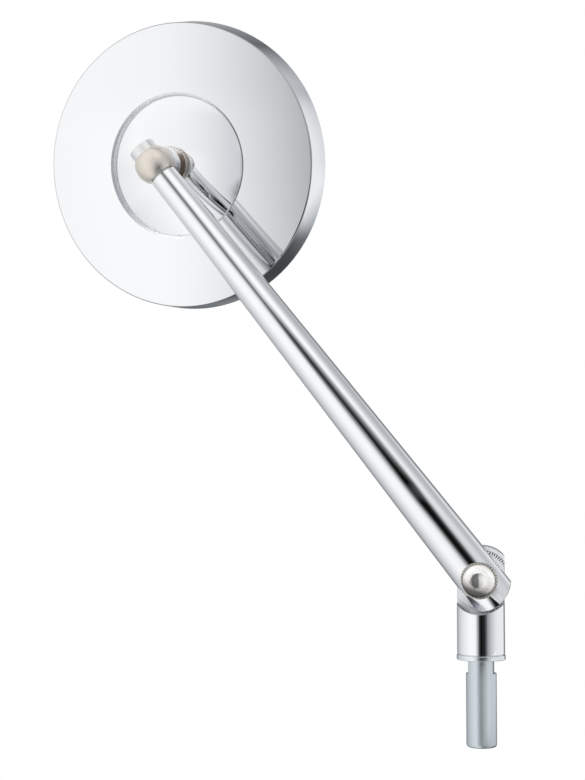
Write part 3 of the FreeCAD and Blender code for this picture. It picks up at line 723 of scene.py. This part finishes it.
# Painted shade and light on the recess's chamfer: grey on the left, light in the middle, dark on the right.
RECESS_PAINTED_SHADE = ((0.0, (0.45, 0.465, 0.50)), (0.05, (0.47, 0.485, 0.515)), (0.15, (0.63, 0.64, 0.66)))
RECESS_PAINTED_SHADE += ((0.27, (0.84, 0.845, 0.855)), (0.38, (0.96, 0.96, 0.97)), (0.74, (0.96, 0.96, 0.97)))
RECESS_PAINTED_SHADE += ((0.87, (0.45, 0.45, 0.46)), (0.95, (0.16, 0.16, 0.17)), (1.0, (0.14, 0.14, 0.15)))
head_mid = in_head.translation.dot(across)
left, right = head_mid - RECESS_R, head_mid + RECESS_R
tone_by_place(recess_chrome, "DOT_PRODUCT", across, left, right, RECESS_PAINTED_SHADE, 0.2)
# The back's outer edge takes a dark grey finish: a painted reflection along the rim.
edge_painted_reflection = metal("edge_painted_reflection", (0.46, 0.47, 0.49), 0.08, 0.02, 200.0, (1.0, 1.0, 1.0), 0.0)
wall_chrome = metal("wall_chrome", (0.96, 0.965, 0.98), 0.60, 0.04, 500.0, (1.0, 1.0, 1.0), 0.0)
wall_chrome.node_tree.nodes["Principled BSDF"].inputs["Metallic"].default_value = 0.1
# Painted reflection on the back: its chrome colour is painted darker towards the right.
BACK_PAINTED_GREYS = ((0.0, 1.0), (0.42, 1.0), (0.5, 0.98), (0.6, 0.926), (0.7, 0.85), (0.8, 0.756), (0.9, 0.645))
BACK_PAINTED_REFLECTION = [(at, [grey * c for c in CHROME]) for at, grey in (*BACK_PAINTED_GREYS, (1.0, 0.52))]
left, right = head_mid - SHADE_REACH, head_mid + SHADE_REACH
back_chrome = metal("back_chrome", CHROME, 0.035, 0.012, 60.0, (1.0, 1.0, 1.0), 0.012)
tone_by_place(back_chrome, "DOT_PRODUCT", across, left, right, BACK_PAINTED_REFLECTION, 1.0)
for finish in (chrome, recess_chrome, edge_painted_reflection, wall_chrome, back_chrome):
    shell.data.materials.append(finish)
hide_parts("head_shell")
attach(shell, "head")

# Inside of the head: a dished spring plate and a thin nut pull the cap on to the shell's ledge.
# They are plain steel and zinc, and can't be seen once the glass is in.
finish_node("clamp_dish", spring_steel)
finish_node("neck_nut", zinc)

# Mirror glass: a round silvered glass, a little convex, stuck on a foam ring and framed by a thin
# rubber gasket in the rim.
def matt(name, colour, grain, depth):
    """A matt foam or rubber with a fine mottled surface."""
    finish = bpy.data.materials.new(name)
    finish.use_nodes = True
    nodes = finish.node_tree.nodes
    links = finish.node_tree.links
    shader = nodes["Principled BSDF"]
    shader.inputs["Roughness"].default_value = 0.75
    place = nodes.new("ShaderNodeTexCoord")
    noise = nodes.new("ShaderNodeTexNoise")
    noise.inputs["Scale"].default_value = grain
    noise.inputs["Detail"].default_value = 5.0
    links.new(place.outputs["Object"], noise.inputs["Vector"])
    tint = nodes.new("ShaderNodeMix")
    tint.data_type = "RGBA"
    tint.inputs["A"].default_value = (*[c * 0.7 for c in colour], 1.0)
    tint.inputs["B"].default_value = (*[c * 1.3 for c in colour], 1.0)
    links.new(noise.outputs["Fac"], tint.inputs["Factor"])
    links.new(tint.outputs["Result"], shader.inputs["Base Color"])
    bump = nodes.new("ShaderNodeBump")
    bump.inputs["Strength"].default_value = depth
    bump.inputs["Distance"].default_value = 0.0002
    links.new(noise.outputs["Fac"], bump.inputs["Height"])
    links.new(bump.outputs["Normal"], shader.inputs["Normal"])
    return finish


silver = metal("silvered_glass", (0.88, 0.90, 0.91), 0.02, 0.006, 40.0, (1.0, 1.0, 1.0), 0.002)
GLASS_BEND = 1200.0 * MM
GLASS_R = 48.2 * MM
GLASS_THICK = 2.0 * MM
HOLLOW_R = 46.1 * MM
glass_centre = front + GLASS_BEND
glass_foot = glass_centre - math.sqrt(GLASS_BEND**2 - GLASS_R**2) + GLASS_THICK
glass_face = dome_arc(-glass_centre, GLASS_BEND, 0.0, GLASS_R, 48)
glass_hollow = dome_arc(-glass_centre, GLASS_BEND - GLASS_THICK, HOLLOW_R, 0.0, 24)
glass = turned(
    "round_glass",
    [(r, -z) for r, z in glass_face]
    + [(GLASS_R, glass_foot), (HOLLOW_R, glass_foot)]
    + [(r, -z) for r, z in glass_hollow],
    256,
)
glass.data.transform(in_head)
polish_edges(glass, 0.1 * MM)
glass.data.materials.append(silver)
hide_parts("mirror_glass")
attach(glass, "head")
finish_node("glass_pad", matt("foam_tape", (0.12, 0.12, 0.12), 1800.0, 0.5))
finish_node("glass_gasket", matt("gasket_rubber", (0.03, 0.03, 0.03), 3000.0, 0.25))

# Studio: a white sweep all round, a pale floor well below the pin, soft lamps, and a tent and cards
# that only the polished metal sees.
scene = bpy.context.scene
scene.view_settings.view_transform = "Standard"
FLOOR_HALF = 4.0
FLOOR_Z = -0.35


def white_where_seen(tree, plain, seen, output):
    """Mixes a shader so that camera, mirror and glass rays see plain white."""
    path = tree.nodes.new("ShaderNodeLightPath")
    either = tree.nodes.new("ShaderNodeMath")
    either.operation = "MAXIMUM"
    tree.links.new(path.outputs["Is Camera Ray"], either.inputs[0])
    tree.links.new(path.outputs["Is Glossy Ray"], either.inputs[1])
    all_three = tree.nodes.new("ShaderNodeMath")
    all_three.operation = "MAXIMUM"
    tree.links.new(either.outputs[0], all_three.inputs[0])
    tree.links.new(path.outputs["Is Transmission Ray"], all_three.inputs[1])
    mix = tree.nodes.new("ShaderNodeMixShader")
    tree.links.new(all_three.outputs[0], mix.inputs["Fac"])
    tree.links.new(plain.outputs[0], mix.inputs[1])
    tree.links.new(seen.outputs[0], mix.inputs[2])
    tree.links.new(mix.outputs[0], output.inputs["Surface"])


world = bpy.data.worlds.new("white_studio")
scene.world = world
world.use_nodes = True
room = world.node_tree
soft = room.nodes["Background"]
soft.inputs["Color"].default_value = (0.95, 0.97, 1.0, 1.0)
soft.inputs["Strength"].default_value = 0.55
shown = room.nodes.new("ShaderNodeBackground")
shown.inputs["Color"].default_value = (1.0, 1.0, 1.0, 1.0)
shown.inputs["Strength"].default_value = 1.0
white_where_seen(room, soft, shown, room.nodes["World Output"])

bm = bmesh.new()
floor_place = Matrix.Translation((0, 0, FLOOR_Z))
bmesh.ops.create_grid(bm, x_segments=1, y_segments=1, size=FLOOR_HALF, matrix=floor_place)
floor_mesh = bpy.data.meshes.new("floor")
bm.to_mesh(floor_mesh)
bm.free()
floor = bpy.data.objects.new("floor", floor_mesh)
scene.collection.objects.link(floor)
floor_white = bpy.data.materials.new("floor_white")
floor_white.use_nodes = True
tree = floor_white.node_tree
paper = tree.nodes["Principled BSDF"]
paper.inputs["Base Color"].default_value = (0.85, 0.85, 0.86, 1.0)
paper.inputs["Roughness"].default_value = 0.9
lit = tree.nodes.new("ShaderNodeEmission")
lit.inputs["Color"].default_value = (1.0, 1.0, 1.0, 1.0)
lit.inputs["Strength"].default_value = 1.0
white_where_seen(tree, paper, lit, tree.nodes["Material Output"])
floor_mesh.materials.append(floor_white)
floor.visible_glossy = False


def lamp(name, at, towards, size, power):
    """A soft square lamp aimed at a point."""
    data = bpy.data.lights.new(name, "AREA")
    data.size = size
    data.energy = power
    light = bpy.data.objects.new(name, data)
    light.location = at
    light.rotation_mode = "QUATERNION"
    light.rotation_quaternion = (Vector(towards) - Vector(at)).to_track_quat("-Z", "Y")
    scene.collection.objects.link(light)
    light.visible_glossy = False


middle = (-0.06, 0.0, 0.1)
lamp("key_lamp", (-0.7, -0.8, 0.9), middle, 0.8, 9.0)
lamp("fill_lamp", (0.9, -0.6, 0.5), middle, 0.9, 5.0)
lamp("back_lamp", (0.1, 0.9, 0.8), middle, 0.8, 5.0)


def only_in_metal(card):
    """A card that shows in reflections and nowhere else."""
    card.visible_camera = False
    card.visible_diffuse = False
    card.visible_shadow = False
    card.visible_transmission = False


# Light tent: a closed shell round the object that only the metal sees. Its grey goes by the
# compass: white on the left, a darker gap towards the camera, greys on the right and dark behind.
TENT_R = 1.6
bm = bmesh.new()
bmesh.ops.create_uvsphere(bm, u_segments=96, v_segments=48, radius=TENT_R)
tent_mesh = bpy.data.meshes.new("light_tent")
bm.to_mesh(tent_mesh)
bm.free()
tent = bpy.data.objects.new("light_tent", tent_mesh)
tent.location = middle
scene.collection.objects.link(tent)
tent_grey = bpy.data.materials.new("tent_grey")
tent_grey.use_nodes = True
tree = tent_grey.node_tree
tree.nodes.remove(tree.nodes["Principled BSDF"])
place = tree.nodes.new("ShaderNodeTexCoord")
split = tree.nodes.new("ShaderNodeSeparateXYZ")
tree.links.new(place.outputs["Object"], split.inputs["Vector"])
facing = tree.nodes.new("ShaderNodeMath")
facing.operation = "MULTIPLY"
facing.inputs[1].default_value = -1.0
tree.links.new(split.outputs["Y"], facing.inputs[0])
turn = tree.nodes.new("ShaderNodeMath")
turn.operation = "ARCTAN2"
tree.links.new(split.outputs["X"], turn.inputs[0])
tree.links.new(facing.outputs[0], turn.inputs[1])
compass = tree.nodes.new("ShaderNodeMapRange")
compass.inputs["From Min"].default_value = -math.pi
compass.inputs["From Max"].default_value = math.pi
tree.links.new(turn.outputs[0], compass.inputs["Value"])


def grey_band(stops):
    """Greys round the tent at one height: (degrees from the front, grey) pairs, darker ones cooler."""
    ramp = tree.nodes.new("ShaderNodeValToRGB")
    for k, (degrees, grey) in enumerate(stops):
        at = (degrees + 180) / 360
        stop = ramp.color_ramp.elements[k] if k < 2 else ramp.color_ramp.elements.new(at)
        cool = 0.07 * (1 - grey)
        stop.position = at
        stop.color = (grey * (1 - cool), grey, grey * (1 + cool), 1.0)
    tree.links.new(compass.outputs["Result"], ramp.inputs["Fac"])
    return ramp


def height_blend(lower, upper, start, end):
    """Goes over from a lower band to an upper one between two heights in degrees."""
    share = tree.nodes.new("ShaderNodeMapRange")
    share.interpolation_type = "SMOOTHSTEP"
    share.inputs["From Min"].default_value = TENT_R * math.sin(math.radians(start))
    share.inputs["From Max"].default_value = TENT_R * math.sin(math.radians(end))
    tree.links.new(split.outputs["Z"], share.inputs["Value"])
    mix = tree.nodes.new("ShaderNodeMix")
    mix.data_type = "RGBA"
    tree.links.new(share.outputs["Result"], mix.inputs["Factor"])
    tree.links.new(lower, mix.inputs["A"])
    tree.links.new(upper, mix.inputs["B"])
    return mix.outputs["Result"]


low_band = grey_band(
    [(-180, 0.06), (-165, 0.13), (-150, 0.26), (-125, 0.48), (-92, 0.68), (-58, 0.87), (-40, 0.94)]
    + [(-20, 0.87), (0, 0.72), (10, 0.60), (20, 0.18), (40, 0.22), (70, 0.52), (100, 0.58)]
    + [(125, 0.30), (145, 0.08), (165, 0.05), (180, 0.06)]
)
eye_band = grey_band(
    [(-180, 0.30), (-164, 0.14), (-147, 0.36), (-122, 0.58), (-92, 0.76), (-60, 0.90), (-46, 0.95)]
    + [(-31, 0.94), (-22, 0.91), (-13, 0.84), (-7, 0.79), (0, 0.72), (14, 0.61)]
    + [(17, 0.42), (20, 0.22), (25, 0.19), (29, 0.20), (34, 0.24), (37, 0.28), (47, 0.40), (62, 0.58)]
    + [(76, 0.72), (90, 0.80), (137, 0.83), (144, 0.50), (150, 0.22), (163, 0.14), (180, 0.30)]
)
high_band = grey_band(
    [(-180, 0.20), (-160, 0.40), (-140, 0.52), (-100, 0.75), (-66, 0.94), (-49, 0.92), (-34, 0.89)]
    + [(-20, 0.84), (-7, 0.77), (0, 0.72), (6, 0.66), (12, 0.63), (20, 0.70), (41, 0.60), (56, 0.64)]
    + [(73, 0.60), (91, 0.58), (110, 0.58), (122, 0.66), (133, 0.80), (141, 0.62), (148, 0.38)]
    + [(160, 0.22), (180, 0.24)]
)
top_band = grey_band(
    [(-180, 0.18), (-100, 0.80), (-60, 0.94), (-26, 0.89), (-13, 0.86), (0, 0.85), (19, 0.93), (33, 0.98)]
    + [(50, 0.92), (60, 0.80), (70, 0.70), (80, 0.60), (91, 0.52), (113, 0.44), (132, 0.47), (149, 0.50)]
    + [(162, 0.32), (174, 0.13), (180, 0.18)]
)
below = height_blend(low_band.outputs["Color"], eye_band.outputs["Color"], -24, -13)
above = height_blend(below, high_band.outputs["Color"], 1, 10)
all_round = height_blend(above, top_band.outputs["Color"], 30, 40)
glow = tree.nodes.new("ShaderNodeEmission")
glow.inputs["Strength"].default_value = 1.1
tree.links.new(all_round, glow.inputs["Color"])
tree.links.new(glow.outputs[0], tree.nodes["Material Output"].inputs["Surface"])
tent_mesh.materials.append(tent_grey)
only_in_metal(tent)


def graded_card(name, rows):
    """A smoky card with soft edges, from rows of (point, darkness)."""
    bm = bmesh.new()
    shade = bm.verts.layers.float.new("clear")
    lines = []
    for row in rows:
        lines.append([bm.verts.new(point) for point, darkness in row])
        for vertex, (point, darkness) in zip(lines[-1], row):
            vertex[shade] = 1 - darkness
    for low, high in zip(lines, lines[1:]):
        for k in range(len(low) - 1):
            bm.faces.new((low[k], low[k + 1], high[k + 1], high[k]))
    mesh = bpy.data.meshes.new(name)
    bm.to_mesh(mesh)
    bm.free()
    card = bpy.data.objects.new(name, mesh)
    scene.collection.objects.link(card)
    smoke = bpy.data.materials.new(name + "_smoke")
    smoke.use_nodes = True
    nodes = smoke.node_tree.nodes
    nodes.remove(nodes["Principled BSDF"])
    clear = nodes.new("ShaderNodeAttribute")
    clear.attribute_name = "clear"
    film = nodes.new("ShaderNodeBsdfTransparent")
    links = smoke.node_tree.links
    links.new(clear.outputs["Fac"], film.inputs["Color"])
    links.new(film.outputs[0], nodes["Material Output"].inputs["Surface"])
    mesh.materials.append(smoke)
    only_in_metal(card)


# Stem cards: a far one below and a near one above it, in front of the stem, make the dark streak
# that runs along it.
STREAK = (0.0, 0.22, 0.55, 0.93, 1.0, 0.98, 0.80, 0.26, 0.0)
FAR_Y = -160
NEAR_Y = -60


def stem_card(name, y, rows):
    """A graded card along the stem, from rows of (place along it, darkness, places across it)."""
    graded_card(
        name,
        [
            [(in_stem @ (Vector((x, y, u)) * MM), peak * dark) for x, dark in zip(places, STREAK)]
            for u, peak, places in rows
        ],
    )


FAR_PLACES = (-53, -24, -3, 18.5, 41, 91.5, 124, 164, 210)
FAR_PEAKS = ((-10, 0), (-3, 1), (45, 1), (70, 0))
stem_card("far_stem_card", FAR_Y, [(u, peak, FAR_PLACES) for u, peak in FAR_PEAKS])
stem_card(
    "near_stem_card",
    NEAR_Y,
    [
        (28, 0.0, (-24, -8.5, -1, 8, 15, 30, 46, 66, 88)),
        (45, 1.0, (-24, -8.5, -1, 8, 15, 27, 46, 69, 92)),
        (78, 0.98, (-20, -7.5, -1.5, 12, 16, 21, 34, 57, 90)),
        (100, 0.93, (-13, -6, -1, 10.5, 16.5, 19, 29, 50, 70)),
        (112, 0.80, (-12, -4.5, 1, 11.5, 16.5, 18.5, 28, 44, 60)),
        (132, 0.0, (-12, -3, 3, 13, 16, 18, 26, 40, 55)),
    ],
)

# Sleeve card: a small one in front of the sleeve, sharp on its left and fading to the right. It
# makes the dark band down the sleeve.
CARD_Y = -30
SLEEVE_SPAN = (-1, 24)
SLEEVE_CARD = ((-9, 0), (-3.4, 0.6), (-1, 0.92), (2.7, 1), (7.5, 0.97), (12, 0.85), (14.6, 0.6), (20, 0.1))
SLEEVE_CARD += ((24, 0),)
sleeve_rows = [[(Vector((x, CARD_Y, z)) * MM, dark) for x, dark in SLEEVE_CARD] for z in SLEEVE_SPAN]
graded_card("sleeve_card", sleeve_rows)

# Pin cards: a soft grey one in front of the pin makes the faint dark band down its middle, and a
# white one behind it, bent round to the right, the bright band beside that.
PIN_SPAN = (-34, 2)
PIN_CARD = ((-17, 0), (-5.3, 0.42), (1.3, 0.52), (8.6, 0.45), (17, 0.3), (30, 0.18), (50, 0))
pin_rows = [[(Vector((x, CARD_Y, z)) * MM, dark) for x, dark in PIN_CARD] for z in PIN_SPAN]
graded_card("pin_card", pin_rows)
WHITE_CARD = ((5.5, -31), (32, -31), (60, -13))
bm = bmesh.new()
lower = [bm.verts.new(Vector((x, y, PIN_SPAN[0])) * MM) for x, y in WHITE_CARD]
upper = [bm.verts.new(Vector((x, y, PIN_SPAN[1])) * MM) for x, y in WHITE_CARD]
for k in range(2):
    bm.faces.new((lower[k], lower[k + 1], upper[k + 1], upper[k]))
white_mesh = bpy.data.meshes.new("pin_white_card")
bm.to_mesh(white_mesh)
bm.free()
white_card = bpy.data.objects.new("pin_white_card", white_mesh)
scene.collection.objects.link(white_card)
card_white = bpy.data.materials.new("card_white")
card_white.use_nodes = True
tree = card_white.node_tree
tree.nodes.remove(tree.nodes["Principled BSDF"])
lit = tree.nodes.new("ShaderNodeEmission")
lit.inputs["Strength"].default_value = 0.92
tree.links.new(lit.outputs[0], tree.nodes["Material Output"].inputs["Surface"])
white_mesh.materials.append(card_white)
only_in_metal(white_card)

# Camera: a long lens almost square on to the mirror's back, a little from the right. It was fitted to
# the outlines of the head, the stem, the hinge and the pin together.
TARGET = Vector((-0.062611, 0.0, 0.093229))
SWING = math.radians(11.193)
RISE = math.radians(-1.936)
ROLL = math.radians(-0.203)
REACH = 0.5981
FOCAL_PIXELS = 1781.7
TALL_PIXELS = 780
back = Vector((math.sin(SWING) * math.cos(RISE), -math.cos(SWING) * math.cos(RISE), math.sin(RISE)))
right = Vector((math.cos(SWING), math.sin(SWING), 0.0))
up = back.cross(right)
right, up = math.cos(ROLL) * right + math.sin(ROLL) * up, math.cos(ROLL) * up - math.sin(ROLL) * right
lens = bpy.data.cameras.new("camera")
lens.sensor_width = 36.0
lens.lens = FOCAL_PIXELS / TALL_PIXELS * lens.sensor_width
lens.clip_start = 0.01
lens.clip_end = 50.0
camera = bpy.data.objects.new("camera", lens)
scene.collection.objects.link(camera)
stand = Matrix((right, up, back)).transposed().to_4x4()
stand.translation = TARGET + back * REACH
camera.matrix_world = stand
scene.camera = camera
